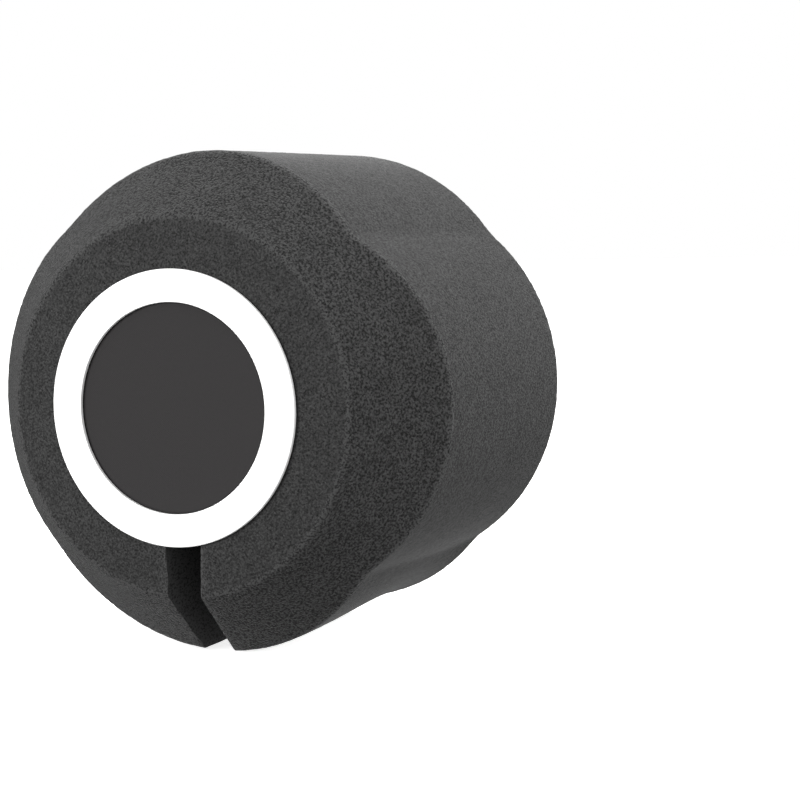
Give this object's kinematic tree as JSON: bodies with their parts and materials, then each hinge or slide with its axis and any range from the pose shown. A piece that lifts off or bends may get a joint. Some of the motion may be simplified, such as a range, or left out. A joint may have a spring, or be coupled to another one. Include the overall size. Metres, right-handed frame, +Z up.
{
  "type": "microphone isolation shield",
  "caption": "Lobed foam shield that grips a studio microphone from above, with a slotted well underneath and a pop filter ring with gauze in its conical front.",
  "frame": {"origin": "on the microphone well's axis, level with the foam's lowest edge", "axes": "+Z up along the microphone, +X to the right as the singer sees the front, +Y from the front face to the back face"},
  "size_m": [0.1572, 0.1216, 0.1569],
  "materials": {
    "charcoal_foam": "open-cell polyurethane foam, matte, fine cells",
    "white_plastic": "moulded white plastic, satin",
    "black_plastic": "moulded black plastic, satin",
    "black_gauze": "fine woven black gauze"
  },
  "bodies": {
    "foam_shield": {"foam_body": "charcoal_foam"},
    "pop_filter": {"front_bezel": "white_plastic", "filter_housing": "black_plastic", "front_gauze_hoop": "black_plastic", "front_gauze": "black_gauze", "gauze_spacer": "black_plastic", "rear_gauze_hoop": "black_plastic", "rear_gauze": "black_gauze"}
  },
  "joints": [
    {"name": "filter_pull", "type": "slide", "parent": "foam_shield", "child": "pop_filter", "axis": [0, -1, 0], "range_m": [0, 0.045]}
  ]
}
